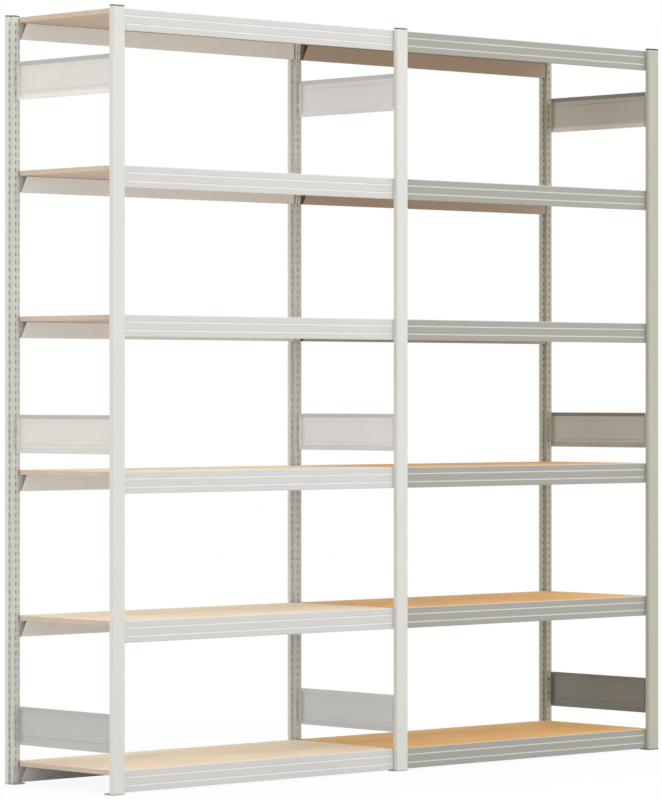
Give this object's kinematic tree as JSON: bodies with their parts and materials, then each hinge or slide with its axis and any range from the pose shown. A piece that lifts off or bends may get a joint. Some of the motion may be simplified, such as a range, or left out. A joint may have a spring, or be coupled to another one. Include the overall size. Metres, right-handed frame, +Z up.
{
  "type": "wide span shelving unit",
  "caption": "Tall open shelving of two bays side by side, with slotted uprights, hook-in beams, side panels and chipboard shelf boards.",
  "frame": {"origin": "on the floor, under the middle of the unit", "axes": "+X to the right along the bays seen from the front, +Y from the front to the rear, +Z up"},
  "size_m": [2.552, 0.55, 2.5073],
  "materials": {
    "pale_paint": "light grey powder coat, paler bay",
    "deep_paint": "light grey powder coat, deeper bay",
    "pale_board": "raw chipboard, paler bay",
    "deep_board": "raw chipboard, deeper bay",
    "cap_plastic": "dark grey moulded plastic"
  },
  "bodies": {
    "rack": {"left_front_upright": "pale_paint", "left_front_cap": "cap_plastic", "left_rear_upright": "pale_paint", "left_rear_cap": "cap_plastic", "left_side_panel_bottom": "pale_paint", "left_side_panel_middle": "pale_paint", "left_side_panel_top": "pale_paint", "middle_front_upright": "pale_paint", "middle_front_cap": "cap_plastic", "middle_rear_upright": "pale_paint", "middle_rear_cap": "cap_plastic", "middle_side_panel_bottom": "pale_paint", "middle_side_panel_middle": "pale_paint", "middle_side_panel_top": "pale_paint", "right_front_upright": "deep_paint", "right_front_cap": "cap_plastic", "right_rear_upright": "deep_paint", "right_rear_cap": "cap_plastic", "right_side_panel_bottom": "deep_paint", "right_side_panel_middle": "deep_paint", "right_side_panel_top": "deep_paint", "left_bay_front_beam_1": "pale_paint", "left_bay_rear_beam_1": "pale_paint", "left_bay_front_beam_2": "pale_paint", "left_bay_rear_beam_2": "pale_paint", "left_bay_front_beam_3": "pale_paint", "left_bay_rear_beam_3": "pale_paint", "left_bay_front_beam_4": "pale_paint", "left_bay_rear_beam_4": "pale_paint", "left_bay_front_beam_5": "pale_paint", "left_bay_rear_beam_5": "pale_paint", "left_bay_front_beam_6": "pale_paint", "left_bay_rear_beam_6": "pale_paint", "right_bay_front_beam_1": "deep_paint", "right_bay_rear_beam_1": "deep_paint", "right_bay_front_beam_2": "deep_paint", "right_bay_rear_beam_2": "deep_paint", "right_bay_front_beam_3": "deep_paint", "right_bay_rear_beam_3": "deep_paint", "right_bay_front_beam_4": "deep_paint", "right_bay_rear_beam_4": "deep_paint", "right_bay_front_beam_5": "deep_paint", "right_bay_rear_beam_5": "deep_paint", "right_bay_front_beam_6": "deep_paint", "right_bay_rear_beam_6": "deep_paint"},
    "left_bay_board_1": {"left_bay_shelf_board_1": "pale_board"},
    "left_bay_board_2": {"left_bay_shelf_board_2": "pale_board"},
    "left_bay_board_3": {"left_bay_shelf_board_3": "pale_board"},
    "left_bay_board_4": {"left_bay_shelf_board_4": "pale_board"},
    "left_bay_board_5": {"left_bay_shelf_board_5": "pale_board"},
    "left_bay_board_6": {"left_bay_shelf_board_6": "pale_board"},
    "right_bay_board_1": {"right_bay_shelf_board_1": "deep_board"},
    "right_bay_board_2": {"right_bay_shelf_board_2": "deep_board"},
    "right_bay_board_3": {"right_bay_shelf_board_3": "deep_board"},
    "right_bay_board_4": {"right_bay_shelf_board_4": "deep_board"},
    "right_bay_board_5": {"right_bay_shelf_board_5": "deep_board"},
    "right_bay_board_6": {"right_bay_shelf_board_6": "deep_board"}
  },
  "joints": [
    {"name": "left_bay_board_1_lift", "type": "slide", "parent": "rack", "child": "left_bay_board_1", "axis": [0, 0, 1], "range_m": [0, 0.05]},
    {"name": "left_bay_board_2_lift", "type": "slide", "parent": "rack", "child": "left_bay_board_2", "axis": [0, 0, 1], "range_m": [0, 0.05]},
    {"name": "left_bay_board_3_lift", "type": "slide", "parent": "rack", "child": "left_bay_board_3", "axis": [0, 0, 1], "range_m": [0, 0.05]},
    {"name": "left_bay_board_4_lift", "type": "slide", "parent": "rack", "child": "left_bay_board_4", "axis": [0, 0, 1], "range_m": [0, 0.05]},
    {"name": "left_bay_board_5_lift", "type": "slide", "parent": "rack", "child": "left_bay_board_5", "axis": [0, 0, 1], "range_m": [0, 0.05]},
    {"name": "left_bay_board_6_lift", "type": "slide", "parent": "rack", "child": "left_bay_board_6", "axis": [0, 0, 1], "range_m": [0, 0.05]},
    {"name": "right_bay_board_1_lift", "type": "slide", "parent": "rack", "child": "right_bay_board_1", "axis": [0, 0, 1], "range_m": [0, 0.05]},
    {"name": "right_bay_board_2_lift", "type": "slide", "parent": "rack", "child": "right_bay_board_2", "axis": [0, 0, 1], "range_m": [0, 0.05]},
    {"name": "right_bay_board_3_lift", "type": "slide", "parent": "rack", "child": "right_bay_board_3", "axis": [0, 0, 1], "range_m": [0, 0.05]},
    {"name": "right_bay_board_4_lift", "type": "slide", "parent": "rack", "child": "right_bay_board_4", "axis": [0, 0, 1], "range_m": [0, 0.05]},
    {"name": "right_bay_board_5_lift", "type": "slide", "parent": "rack", "child": "right_bay_board_5", "axis": [0, 0, 1], "range_m": [0, 0.05]},
    {"name": "right_bay_board_6_lift", "type": "slide", "parent": "rack", "child": "right_bay_board_6", "axis": [0, 0, 1], "range_m": [0, 0.05]}
  ]
}
